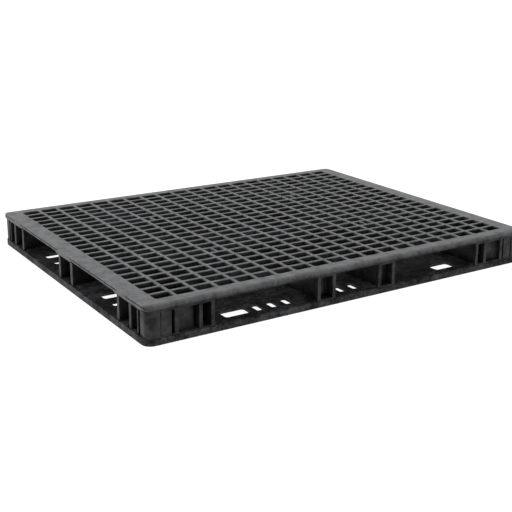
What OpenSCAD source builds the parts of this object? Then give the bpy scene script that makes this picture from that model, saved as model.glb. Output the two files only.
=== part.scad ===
// Open-deck plastic pallet with twelve ribbed blocks on a slotted base.
// Origin: middle of the underside. X runs along the long side, Y along the short side, Z up.

/* [Overall size] */
// Length along the long side
length = 1422; // [1300:2:1720]
// Width along the short side
width = 1118; // [1030:2:1350]
// Height from the floor to the top of the deck
height = 114; // [104:1:180]
// Radius of the deck's vertical corners
corner_r = 28; // [20:1:34]

/* [Deck] */
// Depth of the deck's ribs and of its rim
deck_h = 18; // [16:0.5:22]
// Number of openings along the length
columns = 20; // [16:1:24]
// Number of openings across the width
rows = 22; // [18:1:26]
// Rib between two columns of openings
rib_x = 11; // [8:0.5:14]
// Rib between two rows of openings
rib_y = 12; // [8:0.5:15]
// Solid border along each short side
border_end = 56; // [50:1:66]
// Solid border along each long side
border_side = 46; // [42:0.5:52]
// Radius of the rim's top edge along each long side
lip_r = 10; // [5:0.5:11]
// Height of the seam below the top face on each short side
seam_drop = 3; // [2:0.5:4]
// Height of that seam
seam_h = 2.2; // [1.4:0.2:3]
// Depth of that seam
seam_d = 2.6; // [1.4:0.2:4]
// Length without a seam over the inner part of a corner block
seam_fade = 62; // [30:1:80]
// Rise of the short side's rail over a fork opening
rail_rise = 6; // [4:0.5:8]
// Radius of the corners of that rise
rail_r = 12; // [8:1:16]
// How far in from the rim that rise reaches
rail_in = 20; // [16:1:24]
// Width of the gating bar across four of the openings
pad_bar = 9; // [6:1:14]

/* [Blocks] */
// How far the blocks stand in from the rim on the short sides
inset_end = 7; // [5:1:12]
// How far the blocks stand in from the rim on the long sides
inset_side = 1; // [0.5:0.5:4]
// Length of a corner block along the long side, from the rim
corner_l = 213.5; // [200:0.5:230]
// Width of a corner block along the short side, from the rim
corner_w = 186; // [178:1:196]
// Distance from the middle of the pallet to the near face of an inner block
inner_start = 82; // [70:1:90]
// Length of an inner block along the long side
inner_l = 66; // [60:1:76]
// Width of the side and centre blocks along the short side
middle_w = 110; // [104:1:124]
// Width of a rib on a block's face along a long side
face_rib = 11; // [9:0.5:13]
// Width of a rib on a block's face along a short side
side_rib = 14; // [11:0.5:16]
// Depth of a corner block's wide recess
recess_d = 15; // [10:1:20]
// Width of a corner block's wide recess, on a long side
recess_w = 64; // [56:1:68]
// Width of the deep groove beside that recess
groove_w = 9; // [6:0.5:12]
// Depth of a deep slot in a block's outer face
slot_d = 52; // [40:1:60]
// Width of a corner block's deep slot, on a long side
slot_w = 27; // [22:1:30]
// Width of the narrow slot beside a corner block's column
thin_slot_w = 8; // [5:0.5:10]
// Depth of the narrow slot
thin_slot_d = 26; // [18:1:32]
// Width of the sunk panel beside that slot
panel_w = 32; // [26:1:34]
// How far that panel is sunk
panel_d = 2; // [1:0.5:3]
// Width of the line between the panel and the column
line_w = 3; // [2:0.5:4]
// Depth of that line
line_d = 4; // [3:0.5:6]
// Width of a corner block's deep recess, on a short side
side_recess_w = 62; // [54:1:66]
// Width of the recess beside it
end_recess_w = 36; // [28:1:38]
// Width of the groove beside the column, on a short side
end_groove_w = 12; // [8:1:14]
// Depth of the recess in an inner block
inner_recess_d = 30; // [20:1:36]
// Thickness of a fin that stands in a recess
fin_t = 6; // [4:0.5:7]
// How far such a fin stands back from the block's face
fin_back = 6; // [4:0.5:10]
// Height of the solid foot below a recess in a long side's face
foot_h = 3; // [2:0.5:6]
// Height of the solid head above a recess
head_h = 4; // [3:0.5:8]
// Wall of a block's hollow core
core_wall = 7; // [5:0.5:8]

/* [Base] */
// Height of the base
base_h = 20; // [18:1:26]
// Thickness of the base's top plate
base_plate = 8; // [6:0.5:10]
// Width of the ribs under the base
base_rib = 7; // [5:0.5:9]
// How far the base stands in from the rim on the short sides
base_inset = 3; // [0:0.5:4]
// Chamfer round the base's top edge
base_chamfer = 3; // [2:0.5:5]
// Radius of the corners of the base's windows
window_r = 40; // [20:1:60]
// Length of a long drainage slot in the base
drain_l = 85; // [60:1:90]
// Width of a drainage slot in the base
drain_w = 49; // [40:1:54]
// Length of a short drainage slot in the base
vent_l = 26; // [18:1:30]
// Distance between short drainage slots
vent_pitch = 50; // [44:1:56]
// Height of the kerb on the base round each block
kerb_h = 4; // [2:0.5:5]
// Width of that kerb
kerb_w = 22; // [14:1:26]
// How far the kerb stands back from the pallet's edge
kerb_back = 8; // [6:1:20]

/* [Reinforcement and fasteners] */
// Width of a steel reinforcing bar
bar_w = 22; // [16:1:24]
// Thickness of a steel reinforcing bar
bar_t = 5; // [4:0.5:6]
// Clearance round a bar in its pocket
bar_gap = 0.4; // [0.2:0.1:0.6]
// Plastic between the underside of the deck's rim and the bar's pocket
bar_floor = 5; // [4:0.5:6]
// Shank diameter of a block screw
screw_d = 8; // [6:0.5:9]
// Flange diameter of a screw head
screw_head_d = 17; // [14:0.5:18]
// Height of a screw head
screw_head_h = 6; // [5:0.5:7]
// Distance from the floor to the underside of a screw head
screw_recess = 3; // [2:0.5:4]
// How far a screw reaches into the deck
screw_reach = 11; // [9:0.5:12]
// Clearance round a screw in the base and the blocks
screw_gap = 0.5; // [0.3:0.1:0.8]
// Outside diameter of a screw boss
boss_d = 18; // [16:0.5:20]

/* [Hidden] */

black = "#2b2c2e";
steel = "#9aa0a5";
round_fn = 48;
cut = 1;

half_l = length / 2;
half_w = width / 2;
deck_z = height - deck_h;
block_h = deck_z - base_h;

cell_l = (length - 2 * border_end - (columns - 1) * rib_x) / columns;
cell_w = (width - 2 * border_side - (rows - 1) * rib_y) / rows;
pitch_x = cell_l + rib_x;
pitch_y = cell_w + rib_y;
gate_share = 0.27;
pad_column = floor(columns / 4);
pad_row = round(rows * gate_share);

// Block outlines, as distances from the middle of the pallet
end_face = half_l - inset_end;
side_face = half_w - inset_side;
corner_in_x = half_l - corner_l;
corner_in_y = half_w - corner_w;
inner_end = inner_start + inner_l;
middle_half = middle_w / 2;

// Screw places: in the border where a block reaches it, else where two deck ribs cross
screw_share = 0.45;
function rib_below(distance, pitch, count) =
    let(half = count % 2 / 2) (floor(distance / pitch - half) + half) * pitch;
function rib_between(low, high, pitch, count) =
    rib_below(high, pitch, count) >= low ? rib_below(high, pitch, count) : (low + high) / 2;
bar_space_w = bar_w + 2 * bar_gap;
tube_wall = 4;
tube_d = screw_head_d + 2 * tube_wall;
border_x = half_l - border_end / 2 - corner_r / 4;
border_y = half_w - border_side / 2 - corner_r / 16;
block_core_x = end_face - slot_d - boss_d / 2 - core_wall;
corner_cross_x = rib_below(corner_in_x + corner_l * screw_share, pitch_x, columns);
corner_cross_y = rib_below(corner_in_y + corner_w * screw_share, pitch_y, rows);
side_cross_x = rib_between(corner_cross_x + bar_space_w + tube_d, block_core_x, pitch_x, columns);
inner_cross_x = rib_between(inner_start + boss_d / 2 + 1, inner_end - boss_d / 2 - 1, pitch_x, columns);
inner_cross_y = rib_below(side_face - slot_d - boss_d / 2 - core_wall, pitch_y, rows);
mid_cross_y = rib_below(pitch_y / 2, pitch_y, rows);
corner_screws = [[border_x, border_y], [corner_cross_x, corner_cross_y]];
inner_screws = [[inner_cross_x, inner_cross_y], [inner_cross_x, inner_cross_y - pitch_y]];
side_screws = [[corner_cross_x, mid_cross_y], [side_cross_x, mid_cross_y]];
centre_screws = [[inner_cross_x, mid_cross_y]];

// Fits in the base: room round a screw's head, its flange, its hexagon, and a gap round a block's foot
head_gap = 1;
flange_t = 2;
hexagon_share = 0.85;
seat_gap = 0.3;

// How far to the side the fin in a side block's recess stands, as a share of half the recess
side_fin_share = 0.6;

// Every screw, in all four quarters
quarter_screws = concat(corner_screws, inner_screws);
middle_screws = concat(side_screws, centre_screws);
all_screws = [
    for (sx = [-1, 1], sy = [-1, 1], place = quarter_screws) [sx * place[0], sy * place[1]],
    for (sx = [-1, 1], place = middle_screws) [sx * place[0], place[1]]
];

// Where the reinforcing bars lie. Each end stops a margin short of the border's corner
bar_margin = 34;
deck_bar_z = deck_z + bar_floor;
deck_bar_y = half_w - border_side + bar_space_w / 2 + 1;
deck_bar_x = half_l - border_end + bar_space_w / 2 + 3;
deck_long_bar = length - 2 * (border_end + bar_margin);
deck_cross_bar = width - 2 * (border_side + bar_margin);
base_bar_z = base_h - base_plate - bar_t - bar_gap;
base_bar_y = corner_in_y + base_rib + bar_space_w / 2 - 3;
base_bar_x = (corner_cross_x + side_cross_x) / 2;
base_long_bar = 2 * (end_face - slot_d);
base_cross_bar = 2 * (base_bar_y - bar_space_w);

// Base windows stop this far from the blocks
window_gap = 6;
window_in_x = inner_end + window_gap;
window_out_x = corner_in_x - window_gap;
window_in_y = middle_half + window_gap;
window_out_y = corner_in_y - window_gap;
mid_window = inner_start - window_gap;
base_l = length - 2 * base_inset;
base_end = base_l / 2;

// Where the base's troughs and drainage slots lie
drain_from_side = 34;
drain_from_end = 43;
drain_from_block = 98;
vent_from_block = 26;
trough_lap = 28;
bar_lap = 8;
trough_y = half_w - drain_from_side - drain_w - trough_lap;
trough_x = base_bar_x + bar_space_w / 2 + bar_lap;
drain_y = half_w - drain_from_side - drain_w / 2;
drain_x = half_l - drain_from_end - drain_l / 2;
end_drain_w = 43;
end_vent_w = 34;

// Where the slots of an end board lie, from the middle of each fork opening: the long one, then the short one
near_end_slots = [28, -45];
far_end_slots = [56, -19];
opening_mid_y = (corner_in_y + middle_half) / 2;

module mirror_all() {
    for (sx = [-1, 1], sy = [-1, 1]) scale_sign(sx, sy) children();
}

module scale_sign(sx, sy) {
    mirror([sx < 0 ? 1 : 0, 0, 0]) mirror([0, sy < 0 ? 1 : 0, 0]) children();
}

module box(x0, x1, y0, y1, z0, z1) {
    translate([x0, y0, z0]) cube([x1 - x0, y1 - y0, z1 - z0]);
}

module rounded_plate(l, w, h, r) {
    linear_extrude(height = h) {
        square([l - 2 * r, w], center = true);
        square([l, w - 2 * r], center = true);
        for (sx = [-1, 1], sy = [-1, 1])
            translate([sx * (l / 2 - r), sy * (w / 2 - r)]) circle(r = r, $fn = round_fn);
    }
}

module bore(place, d, z0, z1) {
    translate([place[0], place[1], z0]) cylinder(d = d, h = z1 - z0, $fn = round_fn);
}

// Waste outside a rounded edge that runs along X
module lip_waste() {
    translate([-half_l - cut, half_w - lip_r, height - lip_r]) difference() {
        cube([length + 2 * cut, lip_r + cut, lip_r + cut]);
        rotate([0, 90, 0]) translate([0, 0, -cut]) cylinder(r = lip_r, h = length + 4 * cut, $fn = round_fn);
    }
}

// ---- Deck ----

module deck_openings() {
    for (i = [0 : columns - 1], j = [0 : rows - 1])
        translate([
            (i - (columns - 1) / 2) * pitch_x - cell_l / 2,
            (j - (rows - 1) / 2) * pitch_y - cell_w / 2,
            deck_z - cut
        ]) cube([cell_l, cell_w, deck_h + 2 * cut]);
}

// Bars that carry the moulding gates, across one opening in each quarter of the deck
module gate_bars() {
    mirror_all() translate([
        ((columns - 1) / 2 - pad_column) * pitch_x - pad_bar / 2,
        ((rows - 1) / 2 - pad_row) * pitch_y - cell_w / 2 - cut,
        deck_z
    ]) cube([pad_bar, cell_w + 2 * cut, deck_h]);
}

module deck_bosses() {
    mirror_all() for (place = concat([corner_screws[1]], inner_screws))
        bore(place, boss_d, deck_z, deck_z + screw_reach);
    for (sx = [-1, 1], place = middle_screws)
        bore([sx * place[0], place[1]], boss_d, deck_z, deck_z + screw_reach);
}

// A flat bar along X, or its pocket when grown by a gap
module bar_x(span, y, z, gap) {
    translate([-span / 2 - gap, y - bar_w / 2 - gap, z - gap])
        cube([span + 2 * gap, bar_w + 2 * gap, bar_t + 2 * gap]);
}

module bar_y(span, x, z, gap) {
    translate([x - bar_w / 2 - gap, -span / 2 - gap, z - gap])
        cube([bar_w + 2 * gap, span + 2 * gap, bar_t + 2 * gap]);
}

// Seam line along each short side, just below the top face. It fades out over the blocks' inner parts
module end_seams() {
    spans = [[middle_half, corner_in_y], [corner_in_y + seam_fade, half_w - corner_r]];
    mirror_all() for (span = spans)
        box(half_l - seam_d, half_l + cut, span[0], span[1], height - seam_drop - seam_h, height - seam_drop);
}

// The short side's rail is thinner over each fork opening, with round corners
module rail_rises() {
    span = corner_in_y - middle_half;
    for (sx = [-1, 1], sy = [-1, 1])
        translate([sx * half_l - rail_in, sy * opening_mid_y, deck_z + rail_rise - span / 2])
            rotate([90, 0, 90]) rounded_plate(span, span, 2 * rail_in, rail_r);
}

module top_deck() color(black) difference() {
    union() {
        difference() {
            translate([0, 0, deck_z]) rounded_plate(length, width, deck_h, corner_r);
            deck_openings();
        }
        gate_bars();
        deck_bosses();
    }
    lip_waste();
    mirror([0, 1, 0]) lip_waste();
    end_seams();
    rail_rises();
    for (sy = [-1, 1]) bar_x(deck_long_bar, sy * deck_bar_y, deck_bar_z, bar_gap);
    for (sx = [-1, 1]) bar_y(deck_cross_bar, sx * deck_bar_x, deck_bar_z, bar_gap);
    for (place = all_screws) bore(place, screw_d, deck_z - cut, deck_z + screw_reach);
}

// ---- Blocks ----

// A recess in a face that looks along +Y, from x0 to x1
module face_recess_y(x0, x1, depth) {
    box(x0, x1, side_face - depth, side_face + cut, base_h + foot_h, deck_z - head_h);
}

// A recess in a face that looks along +X, from y0 to y1, open down to the base
module face_recess_x(y0, y1, depth) {
    box(end_face - depth, end_face + cut, y0, y1, base_h - cut, deck_z - head_h);
}

// A corner block, in the quarter where X and Y are both positive. Each face is laid out from its inner end
module corner_block() {
    column_r = corner_r - inset_end;
    block_l = end_face - corner_in_x;
    block_w = side_face - corner_in_y;
    slot_x = corner_in_x + face_rib;
    recess_x = slot_x + slot_w + face_rib;
    thin_x = recess_x + recess_w + face_rib;
    panel_x = thin_x + thin_slot_w;
    line_x = panel_x + panel_w;
    recess_y = corner_in_y + side_rib;
    end_recess_y = recess_y + side_recess_w + side_rib;
    groove_y = end_recess_y + end_recess_w + fin_t;
    difference() {
        translate([corner_in_x, corner_in_y, base_h]) linear_extrude(height = block_h) {
            square([block_l - column_r, block_w]);
            square([block_l, block_w - column_r]);
            translate([block_l - column_r, block_w - column_r]) circle(r = column_r, $fn = round_fn);
        }
        face_recess_y(slot_x, slot_x + slot_w, slot_d);
        face_recess_y(recess_x, recess_x + recess_w, recess_d);
        face_recess_y(recess_x, recess_x + groove_w, slot_d);
        face_recess_y(thin_x, thin_x + thin_slot_w, thin_slot_d);
        face_recess_y(panel_x, line_x, panel_d);
        face_recess_y(line_x, line_x + line_w, line_d);
        face_recess_x(recess_y, recess_y + side_recess_w, slot_d);
        face_recess_x(end_recess_y, end_recess_y + end_recess_w, thin_slot_d);
        face_recess_x(groove_y, groove_y + end_groove_w, recess_d);
        core(corner_in_x + core_wall, end_face - slot_d - core_wall,
             corner_in_y + core_wall, side_face - slot_d - core_wall, corner_screws);
        screw_bores(corner_screws);
    }
}

// The hollow inside a block, open at the bottom, with a boss left round each screw
module core(x0, x1, y0, y1, screws) {
    difference() {
        box(x0, x1, y0, y1, base_h - cut, deck_z - head_h);
        for (place = screws) bore(place, boss_d, base_h - 2 * cut, deck_z);
    }
}

// Clearance holes for screws through a block's whole height
module screw_bores(screws) {
    for (place = screws) bore(place, screw_d + 2 * screw_gap, base_h - cut, deck_z + cut);
}

// An inner block of the long side, on the +X, +Y side
module inner_block() {
    fin_x = (inner_start + inner_end) / 2;
    fin_y = side_face - inner_recess_d + fin_t;
    difference() {
        box(inner_start, inner_end, corner_in_y, side_face, base_h, deck_z);
        difference() {
            face_recess_y(inner_start + face_rib, inner_end - face_rib, inner_recess_d);
            box(fin_x - fin_t / 2, fin_x + fin_t / 2, corner_in_y, fin_y, base_h, deck_z);
        }
        core(inner_start + core_wall, inner_end - core_wall,
             corner_in_y + core_wall, side_face - inner_recess_d - core_wall, inner_screws);
        screw_bores(inner_screws);
    }
}

// The block in the middle of the short side, on the +X side
module side_block() {
    recess_half = middle_half - side_rib;
    fin_y = -recess_half * side_fin_share;
    difference() {
        box(corner_in_x, end_face, -middle_half, middle_half, base_h, deck_z);
        difference() {
            face_recess_x(-recess_half, recess_half, slot_d);
            box(corner_in_x, end_face - fin_back, fin_y - fin_t / 2, fin_y + fin_t / 2, base_h, deck_z);
        }
        core(corner_in_x + core_wall, end_face - slot_d - core_wall,
             -middle_half + core_wall, middle_half - core_wall, side_screws);
        screw_bores(side_screws);
    }
}

// One of the two blocks under the middle of the deck, on the +X side
module centre_block() {
    difference() {
        box(inner_start, inner_end, -middle_half, middle_half, base_h, deck_z);
        core(inner_start + core_wall, inner_end - core_wall,
             -middle_half + core_wall, middle_half - core_wall, centre_screws);
        screw_bores(centre_screws);
    }
}

// ---- Base ----

module rounded_window(x0, x1, y0, y1) {
    r = min(window_r, (x1 - x0) / 2 - cut, (y1 - y0) / 2 - cut);
    translate([(x0 + x1) / 2, (y0 + y1) / 2, -cut]) rounded_plate(x1 - x0, y1 - y0, base_h + 2 * cut, r);
}

module base_windows() {
    mirror_all() rounded_window(window_in_x, window_out_x, window_in_y, window_out_y);
    for (sy = [-1, 1]) {
        mirror([0, sy < 0 ? 1 : 0, 0]) rounded_window(-mid_window, mid_window, window_in_y, window_out_y);
    }
}

// Pockets under the plate, nx by ny of them, with a rib between neighbours
module field(x0, x1, y0, y1, nx, ny) {
    px = (x1 - x0 + base_rib) / nx;
    py = (y1 - y0 + base_rib) / ny;
    for (i = [0 : nx - 1], j = [0 : ny - 1])
        box(x0 + i * px, x0 + (i + 1) * px - base_rib, y0 + j * py, y0 + (j + 1) * py - base_rib,
            -cut, base_h - base_plate);
}

module base_pockets() {
    far_y = half_w - base_rib;
    far_x = base_end - base_rib;
    block_x = corner_in_x + 1;
    block_y = corner_in_y + 1;
    mirror_all() {
        field(window_in_x, window_out_x, trough_y, far_y, 1, 1);
        field(window_in_x, window_out_x, block_y, trough_y - base_rib, 4, 1);
        field(trough_x, far_x, window_in_y, window_out_y, 1, 1);
        field(block_x, trough_x - base_rib, window_in_y, window_out_y, 1, 4);
        field(block_x, far_x - corner_r / 2, block_y, far_y - corner_r / 2, 3, 3);
        field(inner_start + 1, inner_end - 1, block_y, far_y, 1, 3);
        field(inner_start + 1, inner_end - 1, window_in_y, window_out_y, 1, 4);
        field(window_in_x, window_out_x, base_rib / 2, middle_half - 1, 5, 1);
        field(block_x, far_x, base_rib / 2, middle_half - 1, 3, 1);
        field(inner_start + 1, inner_end - 1, base_rib / 2, middle_half - 1, 1, 1);
        field(-cut, mid_window, trough_y, far_y, 1, 1);
        field(base_rib / 2, mid_window, block_y, trough_y - base_rib, 1, 1);
        field(base_rib / 2, mid_window, base_rib / 2, middle_half - 1, 1, 1);
    }
}

// A slot with round corners through the base, centred on a place
module drain(x, y, l, w) {
    r = min(l, w) / 5;
    translate([x, y, -cut]) rounded_plate(l, w, base_h + 2 * cut, r);
}

// The slots of the front board and the left board. The other two are the same, turned half round
module drains() {
    for (side = [-1, 1]) drain(side * (corner_in_x - drain_from_block), -drain_y, drain_l, drain_w);
    for (i = [1 : 3]) drain(-inner_end - vent_from_block - i * vent_pitch, -drain_y, vent_l, drain_w);
    for (side = [-1, 1]) drain(side * vent_pitch / 2, -drain_y, vent_l, drain_w);
    drain(-drain_x, near_end_slots[0] - opening_mid_y, drain_l, end_drain_w);
    drain(-drain_x, near_end_slots[1] - opening_mid_y, drain_l, end_vent_w);
    drain(-drain_x, far_end_slots[0] + opening_mid_y, drain_l, end_drain_w);
    drain(-drain_x, far_end_slots[1] + opening_mid_y, drain_l, end_vent_w);
}

// A low kerb on the base round a block's foot, rounded off towards the pallet's edge
module kerb(x0, x1, y0, y1) {
    translate([(x0 + x1) / 2, (y0 + y1) / 2, base_h - cut])
        rounded_plate(x1 - x0, y1 - y0, kerb_h + cut, kerb_w);
}

module kerbs() {
    kerb_x = end_face - kerb_back;
    kerb_y = side_face - kerb_back;
    mirror_all() {
        kerb(corner_in_x - kerb_w, kerb_x, corner_in_y - kerb_w, kerb_y);
        kerb(inner_start - kerb_w, inner_end + kerb_w, corner_in_y + 2, kerb_y);
    }
    for (sx = [0, 1]) mirror([sx, 0, 0])
        kerb(corner_in_x + 2, kerb_x, -middle_half - kerb_w, middle_half + kerb_w);
}

// Room for the blocks in the kerbs, a hair wider than the blocks
module block_seats() {
    mirror_all() {
        box(corner_in_x - seat_gap, half_l, corner_in_y - seat_gap, half_w, base_h, deck_z);
        box(inner_start - seat_gap, inner_end + seat_gap, corner_in_y - seat_gap, half_w, base_h, deck_z);
        box(corner_in_x - seat_gap, half_l, -middle_half - seat_gap, middle_half + seat_gap, base_h, deck_z);
    }
}

// Waste outside the chamfer of the base's long top edges
module chamfer_waste() {
    for (sy = [0, 1]) mirror([0, sy, 0]) translate([-half_l, half_w, base_h - base_chamfer])
        rotate([45, 0, 0]) cube([length, 3 * base_chamfer, 3 * base_chamfer]);
}

module bottom_deck() color(black) difference() {
    union() {
        difference() {
            union() {
                rounded_plate(base_l, width, base_h, corner_r);
                kerbs();
            }
            base_windows();
            base_pockets();
            drains();
            rotate([0, 0, 180]) drains();
            block_seats();
            chamfer_waste();
        }
        for (place = all_screws) bore(place, tube_d, 0, base_h);
    }
    for (place = all_screws) {
        bore(place, screw_d + 2 * screw_gap, -cut, base_h + cut);
        bore(place, screw_head_d + 2 * head_gap, -cut, screw_recess + screw_head_h);
    }
    for (sy = [-1, 1]) bar_x(base_long_bar, sy * base_bar_y, base_bar_z, bar_gap);
    for (sx = [-1, 1]) bar_y(base_cross_bar, sx * base_bar_x, base_bar_z, bar_gap);
}

// ---- Reinforcing bars and screws ----

module front_deck_bar() color(steel) bar_x(deck_long_bar, -deck_bar_y, deck_bar_z, 0);
module rear_deck_bar() color(steel) bar_x(deck_long_bar, deck_bar_y, deck_bar_z, 0);
module left_deck_bar() color(steel) bar_y(deck_cross_bar, -deck_bar_x, deck_bar_z, 0);
module right_deck_bar() color(steel) bar_y(deck_cross_bar, deck_bar_x, deck_bar_z, 0);
module front_base_bar() color(steel) bar_x(base_long_bar, -base_bar_y, base_bar_z, 0);
module rear_base_bar() color(steel) bar_x(base_long_bar, base_bar_y, base_bar_z, 0);
module left_base_bar() color(steel) bar_y(base_cross_bar, -base_bar_x, base_bar_z, 0);
module right_base_bar() color(steel) bar_y(base_cross_bar, base_bar_x, base_bar_z, 0);

// Flanged hexagon-head screws, driven up from under the base into the deck
module block_screws() color(steel) for (place = all_screws) {
    bore(place, screw_d, screw_recess + screw_head_h - cut, deck_z + screw_reach - cut);
    bore(place, screw_head_d, screw_recess + screw_head_h - flange_t, screw_recess + screw_head_h);
    translate([place[0], place[1], screw_recess])
        cylinder(d = screw_head_d * hexagon_share, h = screw_head_h, $fn = 6);
}

module quarter(sx, sy) {
    color(black) scale_sign(sx, sy) children();
}

top_deck();
bottom_deck();
quarter(-1, -1) corner_block();  // front_left_corner_block
quarter(1, -1) corner_block();  // front_right_corner_block
quarter(-1, 1) corner_block();  // rear_left_corner_block
quarter(1, 1) corner_block();  // rear_right_corner_block
quarter(-1, -1) inner_block();  // front_left_inner_block
quarter(1, -1) inner_block();  // front_right_inner_block
quarter(-1, 1) inner_block();  // rear_left_inner_block
quarter(1, 1) inner_block();  // rear_right_inner_block
quarter(-1, 1) side_block();  // left_side_block
quarter(1, 1) side_block();  // right_side_block
quarter(-1, 1) centre_block();  // left_centre_block
quarter(1, 1) centre_block();  // right_centre_block
front_deck_bar();
rear_deck_bar();
left_deck_bar();
right_deck_bar();
front_base_bar();
rear_base_bar();
left_base_bar();
right_base_bar();
block_screws();
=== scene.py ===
"""Black plastic pallet: its mouldings, their materials and a studio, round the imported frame."""

import bmesh
import bpy
import numpy as np
from bpy.props import FloatProperty, FloatVectorProperty, IntProperty, PointerProperty
from bpy.types import Operator, Panel, PropertyGroup
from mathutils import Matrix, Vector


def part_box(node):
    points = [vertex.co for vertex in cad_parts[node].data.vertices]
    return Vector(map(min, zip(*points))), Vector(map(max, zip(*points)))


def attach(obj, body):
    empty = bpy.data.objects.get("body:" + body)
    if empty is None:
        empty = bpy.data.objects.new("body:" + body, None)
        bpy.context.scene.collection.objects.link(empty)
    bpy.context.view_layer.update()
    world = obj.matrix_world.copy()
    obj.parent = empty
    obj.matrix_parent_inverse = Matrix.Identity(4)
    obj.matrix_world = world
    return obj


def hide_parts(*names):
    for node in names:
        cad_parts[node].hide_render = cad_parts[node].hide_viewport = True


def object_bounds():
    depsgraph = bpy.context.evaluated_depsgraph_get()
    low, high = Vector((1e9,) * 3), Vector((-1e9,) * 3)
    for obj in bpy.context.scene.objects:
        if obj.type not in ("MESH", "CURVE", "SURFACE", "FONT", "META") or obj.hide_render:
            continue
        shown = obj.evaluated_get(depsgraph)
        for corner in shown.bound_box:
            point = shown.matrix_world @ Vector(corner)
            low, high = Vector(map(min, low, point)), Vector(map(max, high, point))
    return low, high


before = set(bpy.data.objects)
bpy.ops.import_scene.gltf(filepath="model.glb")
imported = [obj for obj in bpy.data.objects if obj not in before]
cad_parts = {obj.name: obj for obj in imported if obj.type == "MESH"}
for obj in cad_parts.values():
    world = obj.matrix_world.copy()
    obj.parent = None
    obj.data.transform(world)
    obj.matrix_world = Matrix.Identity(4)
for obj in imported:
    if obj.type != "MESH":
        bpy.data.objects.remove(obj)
CAD_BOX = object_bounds()

bl_info = {
    "name": "Plastic Pallet",
    "version": (1, 0, 0),
    "blender": (4, 5, 0),
    "location": "View3D > Sidebar > Pallet",
    "description": "Builds the mouldings, materials and studio of an open-deck plastic pallet",
    "category": "Add Mesh",
}

MM = 0.001
BODY = "root"
QUARTERS = ("front_left", "front_right", "rear_left", "rear_right")
SIDES = ("front", "rear", "left", "right")
CORNER_BLOCKS = [quarter + "_corner_block" for quarter in QUARTERS]
INNER_BLOCKS = [quarter + "_inner_block" for quarter in QUARTERS]
MIDDLE_BLOCKS = ["left_side_block", "right_side_block", "left_centre_block", "right_centre_block"]
BARS = [side + "_" + layer + "_bar" for layer in ("deck", "base") for side in SIDES]

SMOOTH_ANGLE = 35.0  # faces that meet at less than this many degrees are shaded as one
DOUBLES = 0.01 * MM  # points closer than this are one point
STRAIGHT = 0.999  # an outward direction's X beyond this means a short side's straight run

# Millimetres in from the end of a rail's rise, close together where its arc is steep
RISE_MARKS = (0.0, 0.8, 1.7, 3.0, 5.0, 8.0, 12.0)

# Foot of the rim's wall, as millimetres in from the outline and above the deck's foot
LONG_SIDE_FOOT = ((0.45, 0.45), (1.5, 0.0), (9.0, 0.0))
SHORT_SIDE_FOOT = ((0.4, 4.0), (0.9, 2.2), (2.2, 0.6), (9.0, 0.0))

# Scuffing and painted light on each ring of points, from 0 in the openings to 1 on the edges that
# goods rub: 0 is painted darkest and without shine, as painted shade, and 1 palest, as scuffing and
# a painted highlight
CELL_WEAR_AND_PAINTED_LIGHT = (0.5, 0.6, 1.0, 0.3, 0.0, 0.0)
LIP_WEAR_AND_HIGHLIGHT = (0.5, 0.5, 0.6, 0.8, 0.9, 1.0, 0.9, 0.8, 0.6)
WALL_WEAR = 0.22
# Painted light: the walls that face along X are painted lighter
SHORT_SIDE_PAINTED_LIGHT = 0.28  # added to the wall's where it faces along X
GATE_WEAR = 0.4

# Sockets of a colour mix, which share their names with its other sockets
MIX_DARK, MIX_LIGHT, MIX_RESULT = 6, 7, 2


def linear_colour(text):
    """A colour written as sRGB hex, as linear red, green, blue and alpha."""
    values = np.array([int(text[i : i + 2], 16) for i in (1, 3, 5)]) / 255.0
    low = values / 12.92
    high = ((values + 0.055) / 1.055) ** 2.4
    return (*np.where(values <= 0.04045, low, high), 1.0)


def length_property(name, description, millimetres):
    """A length that the user may change, kept in metres."""
    return FloatProperty(
        name=name, description=description, default=millimetres * MM, min=0.0,
        subtype="DISTANCE", unit="LENGTH",
    )


def colour_property(name, description, text):
    """A colour that the user may change, kept as linear values."""
    return FloatVectorProperty(
        name=name, description=description, default=linear_colour(text), size=4,
        min=0.0, max=1.0, subtype="COLOR",
    )


class PalletDeckSettings(PropertyGroup):
    """Sizes of the deck's grid, rim and moulded edges."""

    columns: IntProperty(name="Columns", description="Openings along the length", default=20, min=2)
    rows: IntProperty(name="Rows", description="Openings across the width", default=22, min=2)
    rib_x: length_property("Rib between columns", "Width of a rib that runs across the pallet", 11)
    rib_y: length_property("Rib between rows", "Width of a rib that runs along the pallet", 12)
    border_end: length_property("End border", "Solid border along each short side", 56)
    border_side: length_property("Side border", "Solid border along each long side", 46)
    corner_r: length_property("Corner radius", "Radius of the deck's vertical corners", 28)
    cell_r: length_property("Opening radius", "Radius in the corners of an opening", 4)
    edge_r: length_property("Edge radius", "Radius of the top edge round an opening", 2.2)
    draft: length_property("Draft", "How much an opening widens on each side by its foot", 0.5)
    lip_w: length_property("Lip width", "How far in the long sides' rounded top edge reaches", 14)
    lip_h: length_property("Lip height", "How far down that rounded edge reaches", 11)
    end_r: length_property("End edge radius", "Radius of the short sides' top edge", 2.5)
    seam_drop: length_property("Seam drop", "Depth of the seam below the top face", 3)
    seam_h: length_property("Seam height", "Height of the seam groove", 3.0)
    seam_d: length_property("Seam depth", "Depth of the seam groove", 4.0)
    seam_fade: length_property("Seam fade", "Length without a seam on each corner block", 62)
    rail_rise: length_property("Rail rise", "Rise of the short side's rail over a fork opening", 6)
    rail_r: length_property("Rail radius", "Radius of the corners of that rise", 12)
    rail_in: length_property("Rail depth", "How far in from the rim the rise reaches", 20)
    pad_bar: length_property("Gate bar", "Width of the gating bar across four of the openings", 9)


class PalletBlockSettings(PropertyGroup):
    """Sizes of the moulded edges of the blocks and the base."""

    block_edge: length_property("Block edge", "Radius of a block's edges", 1.2)
    base_edge: length_property("Base edge", "Radius of the base's edges", 1.8)


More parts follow.
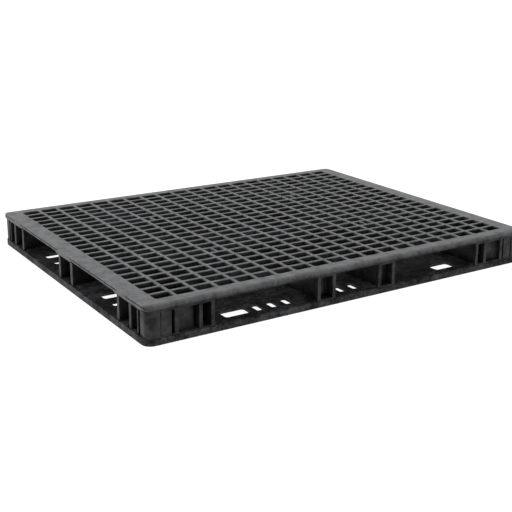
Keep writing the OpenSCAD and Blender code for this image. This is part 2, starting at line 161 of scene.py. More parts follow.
class PalletPlasticSettings(PropertyGroup):
    """Colours and surface of the black plastic and the steel."""

    # Each light tone is also the painted highlight on edges, and the deck's dark tone is also the
    # painted shade in its openings
    deck_dark: colour_property("Deck, dark", "Darkest tone of the deck", "#0e0e0f")
    deck_light: colour_property("Deck, light", "Tone of the deck's marks and scuffs", "#48494b")
    block_dark: colour_property("Blocks, dark", "Darkest tone of the blocks", "#151516")
    block_light: colour_property("Blocks, light", "Tone of the flow marks on the blocks", "#222224")
    base_dark: colour_property("Base, dark", "Darkest tone of the base", "#131314")
    base_light: colour_property("Base, light", "Tone of the scuffs on the base", "#4a4b4d")
    steel: colour_property("Steel", "Tone of the galvanised bars and plated screws", "#a9adb0")


class PalletStageSettings(PropertyGroup):
    """Camera, lights and floor."""

    camera_place: FloatVectorProperty(
        name="Camera place", description="Where the camera stands",
        default=(-1.7456, -2.6928, 1.0114), subtype="TRANSLATION",
    )
    camera_turn: FloatVectorProperty(
        name="Camera turn", description="Which way the camera looks",
        default=tuple(np.radians((75.391, -0.731, -33.844))), subtype="EULER",
    )
    camera_shift: FloatVectorProperty(
        name="Camera shift", description="Sideways and upward shift of the lens",
        default=(-0.0373, -0.1025), size=2,
    )
    lens: FloatProperty(
        name="Lens", description="Focal length in millimetres", default=67.49, min=10.0
    )
    sky: FloatProperty(
        name="Surround", description="Brightness of the white surround, above and behind",
        default=1.25, min=0.0,
    )
    shade: FloatProperty(
        name="Shade", description="Brightness of the unlit side, where the camera stands",
        default=0.08, min=0.0,
    )
    key: FloatProperty(
        name="Key light", description="Power of the soft light above",
        default=25.0, min=0.0, subtype="POWER",
    )
    fill: FloatProperty(
        name="Left light", description="Power of the soft light on the left",
        default=45.0, min=0.0, subtype="POWER",
    )
    glow: FloatProperty(
        name="Table glow", description="Light that the table gives from below",
        default=0.97, min=0.0,
    )


# ---- Meshes ----


def merged_object(name, vertices, quads, wear_and_painted_light):
    """An object of the given points and four-point faces, with doubles merged, faces turned
    outward and each point's scuffing and painted light kept as an attribute."""
    mesh = bpy.data.meshes.new(name)
    mesh.from_pydata(vertices.reshape(-1, 3), [], quads.reshape(-1, 4))
    layer = mesh.attributes.new("wear_and_painted_light", "FLOAT", "POINT")
    layer.data.foreach_set("value", wear_and_painted_light.ravel().astype(np.float32))
    merge(mesh)
    return finish_object(name, mesh)


def merge(mesh, flat_angle=None):
    """Merges doubled points, joins coplanar faces if an angle is given, and turns the faces
    outward."""
    work = bmesh.new()
    work.from_mesh(mesh)
    bmesh.ops.remove_doubles(work, verts=work.verts, dist=DOUBLES)
    if flat_angle is not None:
        bmesh.ops.dissolve_limit(
            work, angle_limit=flat_angle, use_dissolve_boundaries=False,
            verts=work.verts, edges=work.edges,
        )
    bmesh.ops.recalc_face_normals(work, faces=work.faces)
    work.to_mesh(mesh)
    work.free()


def finish_object(name, mesh):
    """Links the mesh as a piece that rides with the pallet, shaded smooth where it bends little."""
    mesh.shade_smooth()
    mesh.set_sharp_from_angle(angle=np.radians(SMOOTH_ANGLE))
    piece = bpy.data.objects.new(name, mesh)
    bpy.context.scene.collection.objects.link(piece)
    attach(piece, BODY)
    return piece


def grid_quads(rows, columns, closed=False):
    """Faces between neighbouring points of a grid. A closed grid joins its last column to its
    first."""
    index = np.arange(rows * columns).reshape(rows, columns)
    if closed:
        index = np.concatenate([index, index[:, :1]], axis=1)
    return np.stack([index[:-1, :-1], index[:-1, 1:], index[1:, 1:], index[1:, :-1]], axis=-1)


def deck_layout(deck):
    """Half sizes of the deck and of an opening, the counts, and the distances between openings.
    An opening is what the borders and ribs leave of the deck, divided by the count."""
    half = np.array([CAD_BOX[1][0], CAD_BOX[1][1]])
    count = np.array([deck.columns, deck.rows])
    rib = np.array([deck.rib_x, deck.rib_y])
    border = np.array([deck.border_end, deck.border_side])
    cell = (2 * half - 2 * border - (count - 1) * rib) / count
    pitch = cell + rib
    return half, count, cell / 2, pitch


def quarter_round(points):
    """Angles of a quarter circle, from its start to its end."""
    return np.radians(np.linspace(0, 90, points))


def grid_tiles(deck, top, foot):
    """The ribs round every opening. Round each opening run twelve points, three on each
    corner's arc. The rings go from the middle of the rib's top, over a quarter-round edge, down
    the drafted wall and out under the rib."""
    _, count, half_cell, pitch = deck_layout(deck)
    corner = np.repeat(np.arange(4), 3)
    turn = np.radians(90.0 * corner + np.tile([0.0, 45.0, 90.0], 4))
    sign_x = np.where((corner == 1) | (corner == 2), -1, 1)
    sign_y = np.where(corner >= 2, -1, 1)
    sign = np.stack([sign_x, sign_y], axis=-1)
    arc = np.stack([np.cos(turn), np.sin(turn)], axis=-1)
    points = len(arc)
    centre = sign * (half_cell - deck.cell_r)
    tile_edge = np.where(np.abs(arc) > 0.5, sign * pitch / 2, centre)
    roll = quarter_round(3)
    grow = [*(deck.edge_r * (1 - np.sin(roll))), deck.draft]
    level = [*(top - deck.edge_r * (1 - np.cos(roll))), foot]
    rings = [np.column_stack([tile_edge, np.full(points, top)])]
    for out, z in zip(grow, level):
        rings.append(np.column_stack([centre + arc * (deck.cell_r + out), np.full(points, z)]))
    rings.append(np.column_stack([tile_edge, np.full(points, foot)]))
    tile = np.array(rings)
    # Each rib's rounded top edge is painted palest, as scuffing and a painted highlight, and the
    # wall below it darkest, as painted shade
    wear_and_painted_light = np.broadcast_to(np.array(CELL_WEAR_AND_PAINTED_LIGHT)[:, None], tile.shape[:2])

    steps = [(np.arange(n) - (n - 1) / 2) * p for n, p in zip(count, pitch)]
    place = np.stack(np.meshgrid(*steps, indexing="ij"), axis=-1).reshape(-1, 2)
    offset = np.concatenate([place, np.zeros((len(place), 1))], axis=1)
    vertices = tile[None] + offset[:, None, None, :]
    starts = np.arange(len(place)) * len(rings) * points
    quads = grid_quads(len(rings), points, closed=True)[None] + starts[:, None, None, None]
    wear_and_painted_light = np.tile(wear_and_painted_light, (len(place), 1, 1))
    return vertices.reshape(-1, 3), quads.reshape(-1, 4), wear_and_painted_light.ravel()


def rim_stations(deck):
    """Points round the deck's outline, with the outward direction of each and the grid's edge
    point that it joins. The outline is a rectangle with arcs at its corners. Along a straight
    side the stations stand where the grid's edge has its points, with a few more at the ends of
    each rise in the rail."""
    half, count, half_cell, pitch = deck_layout(deck)
    grid_half = count * pitch / 2
    inner_run = []
    for axis in (0, 1):
        centres = (np.arange(count[axis]) - (count[axis] - 1) / 2) * pitch[axis]
        near = half_cell[axis] - deck.cell_r
        marks = [centres - pitch[axis] / 2, centres - near, centres + near]
        inner_run.append(np.append(np.stack(marks, axis=1).ravel(), grid_half[axis]))
    rises = np.concatenate([end + way * np.array(RISE_MARKS) * MM for end, way in rail_ends()])
    extra = ([], rises)
    straight = half - deck.corner_r
    outline, outward, joins = [], [], []
    for side in range(4):
        along = 1 - side % 2
        across = side % 2
        run_sign = (1, -1, -1, 1)[side]
        out_sign = (1, 1, -1, -1)[side]
        run = inner_run[along]
        arc_starts = [-straight[along], straight[along]]
        stations = np.unique(np.round(np.concatenate([run, extra[along], arc_starts]), 7))
        stations = np.sort(stations * run_sign) * run_sign
        join_at = run[np.abs(run[None] - stations[:, None]).argmin(axis=1)]
        point = np.zeros((len(stations), 2))
        point[:, along] = stations
        point[:, across] = out_sign * half[across]
        direction = np.zeros_like(point)
        direction[:, across] = out_sign
        join = np.zeros_like(point)
        join[:, along] = join_at
        join[:, across] = out_sign * grid_half[across]
        turn = np.radians(90.0 * side + np.linspace(0, 90, 11)[1:-1])
        arc = np.stack([np.cos(turn), np.sin(turn)], axis=-1)
        corner_sign = np.array([(1, 1), (-1, 1), (-1, -1), (1, -1)][side])
        outline += [point, corner_sign * straight + deck.corner_r * arc]
        outward += [direction, arc]
        joins += [join, np.broadcast_to(corner_sign * grid_half, arc.shape)]
    return np.concatenate(outline), np.concatenate(outward), np.concatenate(joins)


def rail_ends():
    """Where each fork opening of a short side starts and stops, with the way into it, from the
    blocks' boxes."""
    side_low, side_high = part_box("right_side_block")
    corner_low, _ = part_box("rear_right_corner_block")
    return [(side_high.y, 1), (corner_low.y, -1), (side_low.y, -1), (-corner_low.y, 1)]


def seam_strength(deck, y):
    """How fully the short side's seam is cut at each y: wholly over the fork openings and the
    outer part of each corner block, not at all over the middle block, and fading within a
    centimetre of where it stops."""
    ends = rail_ends()
    fade = 10 * MM
    across = np.abs(y)
    opening = np.minimum(across - ends[0][0], ends[1][0] - across) / fade + 1
    corner = (across - ends[1][0] - deck.seam_fade) / fade
    return np.clip(np.maximum(opening, corner), 0, 1)


def rail_lift(deck, y):
    """How high the rail's underside stands above the deck's foot at each y. Over a fork opening
    it is a flat arch whose ends are the parts of a circle that lie above the foot."""
    lift = np.zeros_like(y)
    ends = rail_ends()
    for start, stop in ((ends[0][0], ends[1][0]), (ends[3][0], ends[2][0])):
        from_end = np.minimum(y - start, stop - y)
        dip = np.clip(deck.rail_r - from_end, 0, deck.rail_r)
        curve = deck.rail_rise - (deck.rail_r - np.sqrt(np.maximum(deck.rail_r**2 - dip**2, 0)))
        lift = np.where(from_end >= 0, np.maximum(curve, 0), lift)
    return lift


def rounded_edge(width, height, top):
    """A quarter ellipse from the top face out and down to the wall, as distance in and height."""
    turn = quarter_round(7)
    return np.stack([width * (1 - np.sin(turn)), top - height * (1 - np.cos(turn))], axis=-1)


def rim_profiles(deck, top, foot):
    """The long and the short sides' profiles, as distance in from the outline and height. Both
    have twenty points. The long side is a broad lip and a plain wall. The short side has a seam
    groove, a step under it, and a wall that leans in towards its foot."""
    flat = 1.5 * MM  # of the top face, between the lip and the grid
    round_from = 1.5 * MM  # above the foot, where the long side's wall starts to round
    slope = 0.5 * MM  # in which the rail's rise comes back down
    strip = [[deck.lip_w + flat, top]]
    inner = [[deck.rail_in, foot], [deck.rail_in + slope, foot]]
    lip = rounded_edge(deck.lip_w, deck.lip_h, top)
    levels = np.linspace(top - deck.lip_h, foot + round_from, 8)[1:]
    wall = np.column_stack([np.zeros(len(levels)), levels])
    long_side = np.vstack([strip, lip, wall, np.array(LONG_SIDE_FOOT) * MM + [0, foot], inner])

    ease = 0.3 * MM  # of the groove's corners
    shelf = 0.2 * MM  # how far the wall stands back above and below the step
    nose = 0.6 * MM  # height over which the step comes back in
    seam_top = top - deck.seam_drop
    seam_foot = seam_top - deck.seam_h
    step = seam_foot - 4 * MM
    seam = [
        [ease, seam_top], [deck.seam_d, seam_top - ease], [deck.seam_d, seam_foot + ease],
        [shelf, seam_foot], [0.0, step], [shelf, step - nose],
    ]
    end = rounded_edge(deck.end_r, deck.end_r, top)
    short_side = np.vstack([strip, end, seam, np.array(SHORT_SIDE_FOOT) * MM + [0, foot], inner])
    return long_side, short_side


def rim(deck, top, foot):
    """The solid border outside the grid. A profile of distance in from the outline and height is
    carried round the outline. It changes from the long sides' broad lip to the short sides'
    seamed edge as the corner turns, by the square of the outward direction's X."""
    outline, outward, joins = rim_stations(deck)
    long_side, short_side = rim_profiles(deck, top, foot)
    blend = outward[:, 0] ** 2
    on_short_side = np.abs(outward[:, 0]) > STRAIGHT
    cut = seam_strength(deck, outline[:, 1])
    lift = rail_lift(deck, outline[:, 1]) * on_short_side
    # Points 9 and 10 are the floor of the seam, and points 14 to 18 rise with the rail
    rise = np.array([0] * 14 + [0.6] + [1] * 4 + [0])
    profile = long_side[:, None] * (1 - blend)[:, None] + short_side[:, None] * blend[:, None]
    profile[9:11, :, 0] *= cut
    level = profile[..., 1] + rise[:, None] * lift[None]
    place = outline[None] - outward[None] * profile[..., :1]
    rings = np.concatenate([place, level[..., None]], axis=-1)
    inner_top = np.column_stack([joins, np.full(len(joins), top)])
    inner_foot = np.column_stack([joins, np.full(len(joins), foot)])
    rings = np.concatenate([inner_top[None], rings, inner_foot[None]])
    # With the grid's edge in front, each point of the profile is one ring further on
    wear_and_painted_light = np.zeros(rings.shape[:2])
    # The lip is painted palest along its round, as scuffing and a painted highlight
    wear_and_painted_light[:9] = np.array(LIP_WEAR_AND_HIGHLIGHT)[:, None]
    # The walls that face along X are painted lighter, as painted light
    wear_and_painted_light[9:16] = WALL_WEAR + SHORT_SIDE_PAINTED_LIGHT * np.abs(outward[:, 0])
    # The seam's floor is painted darkest and without shine, as painted shade in the groove
    wear_and_painted_light[10:12] *= 1 - cut * on_short_side
    quads = grid_quads(*rings.shape[:2], closed=True)
    return rings.reshape(-1, 3), quads.reshape(-1, 4), wear_and_painted_light.ravel()


def gate_bars(deck, top, foot):
    """The bars across four openings, about a quarter of the columns and rows in from each
    corner. Each is a box whose top edges are cut off at an angle and whose ends stand inside
    the ribs on either side."""
    _, count, half_cell, pitch = deck_layout(deck)
    row_share = 0.27
    column = count[0] // 4
    row = round(count[1] * row_share)
    place = ((count - 1) / 2 - np.array([column, row])) * pitch
    overlap, edge, sink = 1.5 * MM, 1.5 * MM, 0.3 * MM
    reach = half_cell[1] + overlap
    chamfer = 2 * edge / deck.pad_bar
    x = np.array([-1, -1, -1 + chamfer, 1 - chamfer, 1, 1]) * deck.pad_bar / 2
    z = np.array([foot, top - edge, top, top, top - edge, foot])
    z = z - sink * np.array([0, 1, 1, 1, 1, 0])
    section = np.stack([x, np.zeros(6), z], axis=-1)
    rings = np.stack([section + [0, -reach, 0], section + [0, reach, 0]])
    caps = np.array([[0, 1, 4, 5], [1, 2, 3, 4], [6, 7, 10, 11], [7, 8, 9, 10]])
    faces = np.concatenate([grid_quads(2, 6, closed=True).reshape(-1, 4), caps])
    vertices, quads = [], []
    for index, corner in enumerate([(-1, -1), (-1, 1), (1, -1), (1, 1)]):
        shift = np.array([*(np.array(corner) * place), 0.0])
        vertices.append((rings + shift).reshape(-1, 3))
        quads.append(faces + index * 12)
    vertices = np.concatenate(vertices)
    return vertices, np.concatenate(quads), np.full(len(vertices), GATE_WEAR)


def moulded_copy(node, name, edge):
    """A copy of a CAD node with its flat faces made whole and its edges rounded, as a mould
    leaves them."""
    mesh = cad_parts[node].data.copy()
    mesh.name = name
    mesh.materials.clear()
    merge(mesh, flat_angle=np.radians(0.5))
    piece = finish_object(name, mesh)
    bevel = piece.modifiers.new("moulded edges", "BEVEL")
    bevel.width = edge
    bevel.segments = 2
    bevel.limit_method = "ANGLE"
    bevel.angle_limit = np.radians(40)
    bevel.harden_normals = True
    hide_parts(node)
    return piece


# ---- Materials ----


def add_node(tree, kind, settings=(), inputs=(), links=()):
    """Adds a node, sets its properties and its sockets' values, and links its sockets to others."""
    node = tree.nodes.new(kind)
    for name, value in dict(settings).items():
        setattr(node, name, value)
    for name, value in dict(inputs).items():
        node.inputs[name].default_value = value
    for name, socket in dict(links).items():
        tree.links.new(socket, node.inputs[name])
    return node


def per_length(millimetres):
    """A noise texture's scale for marks of about this size."""
    return 1.0 / (millimetres * MM)


def new_material(name):
    """An empty node material, with its shader and output."""
    material = bpy.data.materials.new(name)
    material.use_nodes = True
    tree = material.node_tree
    tree.nodes.clear()
    shader = add_node(tree, "ShaderNodeBsdfPrincipled")
    add_node(tree, "ShaderNodeOutputMaterial", links={"Surface": shader.outputs["BSDF"]})
    return material, tree, shader


def moulded_hdpe(name, dark, light, roughness, shine, scuffs, top_dust_and_painted_shade, wear_and_light_from_attribute=False):
    """Recycled high-density polyethylene, injection moulded: near black and satin, with cloudy
    flow marks, a fine spark-eroded grain, and long faint scuffs where goods and forks have slid.
    What faces up is made lighter in patches, as dust, by a positive top tone, and darker, as
    painted shade, by a negative one. The deck's edges are painted pale by its attribute, and other
    pieces' by their bends, as scuffing and as a painted highlight; the deck's attribute also paints
    its openings dark and without shine, as painted shade."""
    material, tree, shader = new_material(name)
    place = add_node(tree, "ShaderNodeTexCoord").outputs["Object"]
    facing = add_node(tree, "ShaderNodeNewGeometry").outputs["Normal"]

    clouds = add_node(
        tree, "ShaderNodeTexNoise",
        inputs={"Scale": per_length(70), "Detail": 4.0, "Roughness": 0.6},
        links={"Vector": place},
    )
    flow = add_node(
        tree, "ShaderNodeTexNoise",
        inputs={"Scale": per_length(14), "Detail": 5.0, "Roughness": 0.65, "Distortion": 0.8},
        links={"Vector": place},
    )
    marks = add_node(
        tree, "ShaderNodeMath", {"operation": "MULTIPLY"},
        links={0: clouds.outputs["Fac"], 1: flow.outputs["Fac"]},
    )
    spread = add_node(
        tree, "ShaderNodeMapRange", inputs={"From Min": 0.16, "From Max": 0.36},
        links={"Value": marks.outputs[0]},
    )

    # Scuffs run along the pallet: 12 to the metre that way, 83 mm each, and 180 across, 5.6 mm
    stretch = add_node(
        tree, "ShaderNodeMapping", inputs={"Scale": (12.0, 180.0, 180.0)}, links={"Vector": place}
    )
    slide = add_node(
        tree, "ShaderNodeTexNoise", inputs={"Scale": 1.0, "Detail": 6.0, "Roughness": 0.7},
        links={"Vector": stretch.outputs["Vector"]},
    )
    scratch = add_node(
        tree, "ShaderNodeMapRange", inputs={"From Min": 0.56, "From Max": 0.74, "To Max": scuffs},
        links={"Value": slide.outputs["Fac"]},
    )
    scuffed = add_node(
        tree, "ShaderNodeMath", {"operation": "ADD", "use_clamp": True},
        links={0: spread.outputs[0], 1: scratch.outputs[0]},
    )

    # What faces up takes the top tone, more in the clouds than between them: where that tone is
    # positive it stands for dust, and where it is negative, as on the base, it is painted shade
    upward = add_node(tree, "ShaderNodeSeparateXYZ", links={0: facing})
    top_tone = add_node(
        tree, "ShaderNodeMapRange", inputs={"From Min": 0.5, "From Max": 0.95, "To Max": top_dust_and_painted_shade},
        links={"Value": upward.outputs["Z"]},
    )
    patches = add_node(
        tree, "ShaderNodeMapRange", inputs={"From Min": 0.35, "From Max": 0.6, "To Min": 0.35},
        links={"Value": clouds.outputs["Fac"]},
    )
    topped = add_node(
        tree, "ShaderNodeMath", {"operation": "MULTIPLY_ADD"},
        links={0: top_tone.outputs[0], 1: patches.outputs[0], 2: scuffed.outputs[0]},
    )
    face = add_node(
        tree, "ShaderNodeMath", {"operation": "MAXIMUM"}, inputs={1: 0.0},
        links={0: topped.outputs[0]},
    )

    if wear_and_light_from_attribute:
        # The attribute paints the deck's edges pale, as scuffing and a painted highlight, and its
        # openings dark, as painted shade
        wear_and_light_attribute = add_node(tree, "ShaderNodeAttribute", {"attribute_name": "wear_and_painted_light"})
        rubbing_and_painted_light = wear_and_light_attribute.outputs["Fac"]
    else:
        # A normal eased over 2 mm leans away from the face's own only beside an edge, and there the
        # tone is painted pale, as scuffing and as a painted highlight
        eased = add_node(tree, "ShaderNodeBevel", {"samples": 4}, inputs={"Radius": 2.0 * MM})
        bend = add_node(
            tree, "ShaderNodeVectorMath", {"operation": "DOT_PRODUCT"},
            links={0: eased.outputs["Normal"], 1: facing},
        )
        edge = add_node(
            tree, "ShaderNodeMapRange", inputs={"From Min": 0.98, "From Max": 0.8, "To Max": 1.6},
            links={"Value": bend.outputs["Value"]},
        )
        rubbing_and_painted_light = edge.outputs[0]
    # The edges add to the tone: scuffing and a painted highlight
    rubbed_and_highlighted = add_node(
        tree, "ShaderNodeMath", {"operation": "MULTIPLY_ADD", "use_clamp": True},
        links={0: rubbing_and_painted_light, 1: flow.outputs["Fac"], 2: face.outputs[0]},
    )
    tone = rubbed_and_highlighted.outputs[0]

    blotches = add_node(
        tree, "ShaderNodeTexNoise",
        inputs={"Scale": per_length(38), "Detail": 6.0, "Roughness": 0.7},
        links={"Vector": place},
    )
    shined = add_node(
        tree, "ShaderNodeMapRange",
        inputs={"From Min": 0.38, "From Max": 0.62, "To Min": 0.4 * shine, "To Max": 1.6 * shine},
        links={"Value": blotches.outputs["Fac"]},
    )
    polish = shined.outputs[0]

    if wear_and_light_from_attribute:
        # Down in the openings, where nothing rubs, the plastic is not scuffed, and it is painted
        # darkest and without shine, as painted shade
        painted_shade_in_openings = add_node(
            tree, "ShaderNodeMapRange", inputs={"From Max": 0.5},
            links={"Value": rubbing_and_painted_light},
        )
        tone, polish = [
            add_node(
                tree, "ShaderNodeMath", {"operation": "MULTIPLY"},
                links={0: value, 1: painted_shade_in_openings.outputs[0]},
            ).outputs[0]
            for value in (tone, polish)
        ]

    colour = add_node(
        tree, "ShaderNodeMix", {"data_type": "RGBA"}, inputs={MIX_DARK: dark, MIX_LIGHT: light},
        links={0: tone},
    )
    gloss = add_node(
        tree, "ShaderNodeMapRange",
        inputs={"To Min": roughness - 0.06, "To Max": roughness + 0.10}, links={"Value": tone},
    )
    # The real grain is about 0.1 mm, too fine to show, so it is drawn at 0.9 mm
    grain = add_node(
        tree, "ShaderNodeTexNoise", inputs={"Scale": per_length(0.9), "Detail": 3.0},
        links={"Vector": place},
    )
    relief = add_node(
        tree, "ShaderNodeMath", {"operation": "MULTIPLY_ADD"}, inputs={1: 3.0},
        links={0: flow.outputs["Fac"], 2: grain.outputs["Fac"]},
    )
    bump = add_node(
        tree, "ShaderNodeBump", inputs={"Strength": 0.5, "Distance": 0.12 * MM},
        links={"Height": relief.outputs[0]},
    )
    tree.links.new(colour.outputs[MIX_RESULT], shader.inputs["Base Color"])
    tree.links.new(gloss.outputs[0], shader.inputs["Roughness"])
    tree.links.new(polish, shader.inputs["Specular IOR Level"])
    tree.links.new(bump.outputs["Normal"], shader.inputs["Normal"])
    shader.inputs["IOR"].default_value = 1.54
    return material


def deck_plastic():
    """The deck: the most handled face, scuffed by loads and pale along its ribs' edges, from
    scuffing and a painted highlight, and painted dark without shine in the openings, as painted
    shade."""
    plastic = bpy.context.scene.pallet_plastic
    return moulded_hdpe(
        "moulded black HDPE, deck", plastic.deck_dark, plastic.deck_light,
        roughness=0.46, shine=0.45, scuffs=0.5, top_dust_and_painted_shade=0.3, wear_and_light_from_attribute=True,
    )


def block_plastic():
    """The blocks: the same plastic, sheltered from loads, so darker, with their ribs' edges painted
    pale, as scuffing and as a painted highlight."""
    plastic = bpy.context.scene.pallet_plastic
    return moulded_hdpe(
        "moulded black HDPE, blocks", plastic.block_dark, plastic.block_light,
        roughness=0.48, shine=0.25, scuffs=0.2, top_dust_and_painted_shade=0.3,
    )


def base_plastic():
    """The base: the same plastic, rough and mottled from floors, chains and pallet truck wheels.
    Its top is painted darker as shade from the deck and stays darker than its scuffed edges, which
    are also painted pale as a highlight."""
    plastic = bpy.context.scene.pallet_plastic
    return moulded_hdpe(
        "moulded black HDPE, base", plastic.base_dark, plastic.base_light,
        roughness=0.72, shine=0.07, scuffs=0.5, top_dust_and_painted_shade=-0.35,
    )


def plated_steel(name, spangle):
    """Zinc-coated steel, dull and pale, with the coating's crystals or the drawing marks showing
    as patches of about the given size in millimetres."""
    material, tree, shader = new_material(name)
    place = add_node(tree, "ShaderNodeTexCoord").outputs["Object"]
    crystals = add_node(
        tree, "ShaderNodeTexVoronoi", inputs={"Scale": per_length(spangle)},
        links={"Vector": place},
    )
    dull = add_node(
        tree, "ShaderNodeMapRange", inputs={"To Min": 0.32, "To Max": 0.5},
        links={"Value": crystals.outputs["Distance"]},
    )
    steel = bpy.context.scene.pallet_plastic.steel
    colour = add_node(
        tree, "ShaderNodeMix", {"data_type": "RGBA"},
        inputs={MIX_DARK: steel, MIX_LIGHT: linear_colour("#7f8386")},
        links={0: crystals.outputs["Distance"]},
    )
    tree.links.new(colour.outputs[MIX_RESULT], shader.inputs["Base Color"])
    tree.links.new(dull.outputs[0], shader.inputs["Roughness"])
    shader.inputs["Metallic"].default_value = 1.0
    return material


def white_table(glow):
    """A light table of opal acrylic: most of what it shows is the light from below, so it stays
    pale under the pallet and through its slots."""
    material, tree, shader = new_material("opal acrylic table")
    place = add_node(tree, "ShaderNodeTexCoord").outputs["Object"]
    haze = add_node(
        tree, "ShaderNodeTexNoise", inputs={"Scale": per_length(900), "Detail": 1.0},
        links={"Vector": place},
    )
    dull = add_node(
        tree, "ShaderNodeMapRange", inputs={"To Min": 0.7, "To Max": 0.8},
        links={"Value": haze.outputs["Fac"]},
    )
    tree.links.new(dull.outputs[0], shader.inputs["Roughness"])
    shader.inputs["Base Color"].default_value = linear_colour("#606060")
    shader.inputs["Emission Color"].default_value = (1.0, 1.0, 1.0, 1.0)
    shader.inputs["Emission Strength"].default_value = glow
    return material


def paint(piece, material):
    """Gives a piece its material."""
    piece.data.materials.clear()
    piece.data.materials.append(material)


# ---- Operators ----


class PALLET_OT_deck(Operator):
    """Builds the deck moulding: the grid of openings, the rim and the gate bars"""

    bl_idname = "pallet.deck"
    bl_label = "Build the deck"

    def execute(self, context):
        deck = context.scene.pallet_deck
        low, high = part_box("top_deck")
        parts = [make(deck, high.z, low.z) for make in (grid_tiles, rim, gate_bars)]
        starts = np.cumsum([0] + [len(part[0]) for part in parts[:-1]])
        vertices = np.concatenate([part[0] for part in parts])
        quads = np.concatenate([part[1] + start for part, start in zip(parts, starts)])
        wear_and_painted_light = np.concatenate([part[2] for part in parts])
        piece = merged_object("deck_moulding", vertices, quads, wear_and_painted_light=wear_and_painted_light)
        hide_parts("top_deck")
        paint(piece, deck_plastic())
        return {"FINISHED"}


class PALLET_OT_blocks(Operator):
    """Builds the twelve blocks between the deck and the base"""

    bl_idname = "pallet.blocks"
    bl_label = "Build the blocks"

    def execute(self, context):
        plastic = block_plastic()
        for node in CORNER_BLOCKS + INNER_BLOCKS + MIDDLE_BLOCKS:
            piece = moulded_copy(node, node + "_moulding", context.scene.pallet_block.block_edge)
            paint(piece, plastic)
        return {"FINISHED"}


class PALLET_OT_base(Operator):
    """Builds the base moulding that joins the blocks on the floor"""

    bl_idname = "pallet.base"
    bl_label = "Build the base"

    def execute(self, context):
        piece = moulded_copy("bottom_deck", "base_moulding", context.scene.pallet_block.base_edge)
        paint(piece, base_plastic())
        return {"FINISHED"}


class PALLET_OT_steel(Operator):
    """Gives the reinforcing bars and the block screws their coated steel"""

    bl_idname = "pallet.steel"
    bl_label = "Finish the steel"

    def execute(self, context):
        galvanised = plated_steel("hot-dip galvanised steel", spangle=9)
        plated = plated_steel("zinc-plated steel", spangle=2.5)
        for node in BARS:
            paint(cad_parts[node], galvanised)
        paint(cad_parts["block_screws"], plated)
        return {"FINISHED"}


class PALLET_OT_stage(Operator):
    """Sets up the camera, the white table, the surround and the soft lights"""

    bl_idname = "pallet.stage"
    bl_label = "Set up the studio"

    def execute(self, context):
        stage = context.scene.pallet_stage
        camera_data = bpy.data.cameras.new("camera")
        camera_data.lens = stage.lens
        camera_data.sensor_width = 36.0
        camera_data.shift_x, camera_data.shift_y = stage.camera_shift
        camera_data.clip_end = 200.0
        camera = bpy.data.objects.new("camera", camera_data)
        camera.location = stage.camera_place
        camera.rotation_euler = stage.camera_turn
        context.scene.collection.objects.link(camera)
        context.scene.camera = camera
        table_half = 40.0
        table_mesh = bpy.data.meshes.new("table")
        signs = ((-1, -1), (1, -1), (1, 1), (-1, 1))
        corners = [(sx * table_half, sy * table_half, 0) for sx, sy in signs]
        table_mesh.from_pydata(corners, [], [(0, 1, 2, 3)])
        table = bpy.data.objects.new("table", table_mesh)
        table.data.materials.append(white_table(stage.glow))
        context.scene.collection.objects.link(table)
        context.scene.world = white_surround(stage)
        soft_light("key light", place=(-1.2, 1.4, 3.2), size=3.0, power=stage.key)
        soft_light("left light", place=(-3.0, 3.2, 0.8), size=2.4, power=stage.fill)
        context.scene.view_settings.view_transform = "Standard"
        return {"FINISHED"}


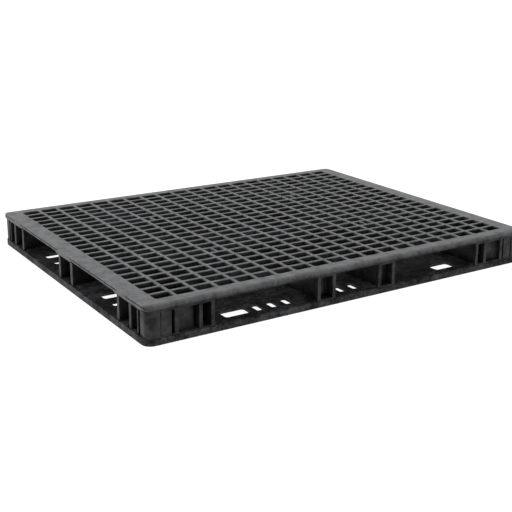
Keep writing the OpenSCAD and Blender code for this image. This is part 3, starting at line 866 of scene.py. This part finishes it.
def white_surround(stage):
    """A white studio, bright above and behind the pallet and unlit towards the front. The
    brightness follows how far a direction leans towards the bright side."""
    world = bpy.data.worlds.new("white surround")
    world.use_nodes = True
    tree = world.node_tree
    direction = add_node(tree, "ShaderNodeTexCoord").outputs["Generated"]
    bright_side = (0.25, 0.75, 0.61)
    lean = add_node(
        tree, "ShaderNodeVectorMath", {"operation": "DOT_PRODUCT"}, inputs={1: bright_side},
        links={0: direction},
    )
    level = add_node(
        tree, "ShaderNodeMapRange", {"interpolation_type": "SMOOTHSTEP"},
        inputs={"From Min": -0.45, "From Max": 0.25, "To Min": stage.shade, "To Max": stage.sky},
        links={"Value": lean.outputs["Value"]},
    )
    tree.links.new(level.outputs[0], tree.nodes["Background"].inputs["Strength"])
    tree.nodes["Background"].inputs["Color"].default_value = (1.0, 1.0, 1.0, 1.0)
    return world


def soft_light(name, place, size, power):
    """A square area light that faces the middle of the pallet."""
    data = bpy.data.lights.new(name, "AREA")
    data.size = size
    data.energy = power
    light = bpy.data.objects.new(name, data)
    light.location = place
    way = (np.array(CAD_BOX[0]) + np.array(CAD_BOX[1])) / 2 - np.array(place)
    turn = np.arctan2(way[1], way[0]) - np.pi / 2
    tilt = np.arctan2(np.hypot(way[0], way[1]), -way[2])
    light.rotation_euler = (tilt, 0.0, turn)
    bpy.context.scene.collection.objects.link(light)


OPERATORS = (PALLET_OT_deck, PALLET_OT_blocks, PALLET_OT_base, PALLET_OT_steel, PALLET_OT_stage)
SETTINGS = {
    "pallet_deck": PalletDeckSettings,
    "pallet_block": PalletBlockSettings,
    "pallet_plastic": PalletPlasticSettings,
    "pallet_stage": PalletStageSettings,
}


class VIEW3D_PT_pallet(Panel):
    """Lists the pallet's operators and its main sizes"""

    bl_label = "Plastic Pallet"
    bl_space_type = "VIEW_3D"
    bl_region_type = "UI"
    bl_category = "Pallet"

    def draw(self, context):
        for operator in OPERATORS:
            self.layout.operator(operator.bl_idname)
        for name, group in SETTINGS.items():
            settings = getattr(context.scene, name)
            for key in group.__annotations__:
                self.layout.prop(settings, key)


CLASSES = (*SETTINGS.values(), *OPERATORS, VIEW3D_PT_pallet)


def register():
    for cls in CLASSES:
        bpy.utils.register_class(cls)
    for name, group in SETTINGS.items():
        setattr(bpy.types.Scene, name, PointerProperty(type=group))


def unregister():
    for name in SETTINGS:
        delattr(bpy.types.Scene, name)
    for cls in reversed(CLASSES):
        bpy.utils.unregister_class(cls)


def main():
    """Registers the add-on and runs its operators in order."""
    register()
    bpy.ops.pallet.deck()
    bpy.ops.pallet.blocks()
    bpy.ops.pallet.base()
    bpy.ops.pallet.steel()
    bpy.ops.pallet.stage()


if __name__ == "__main__":
    main()
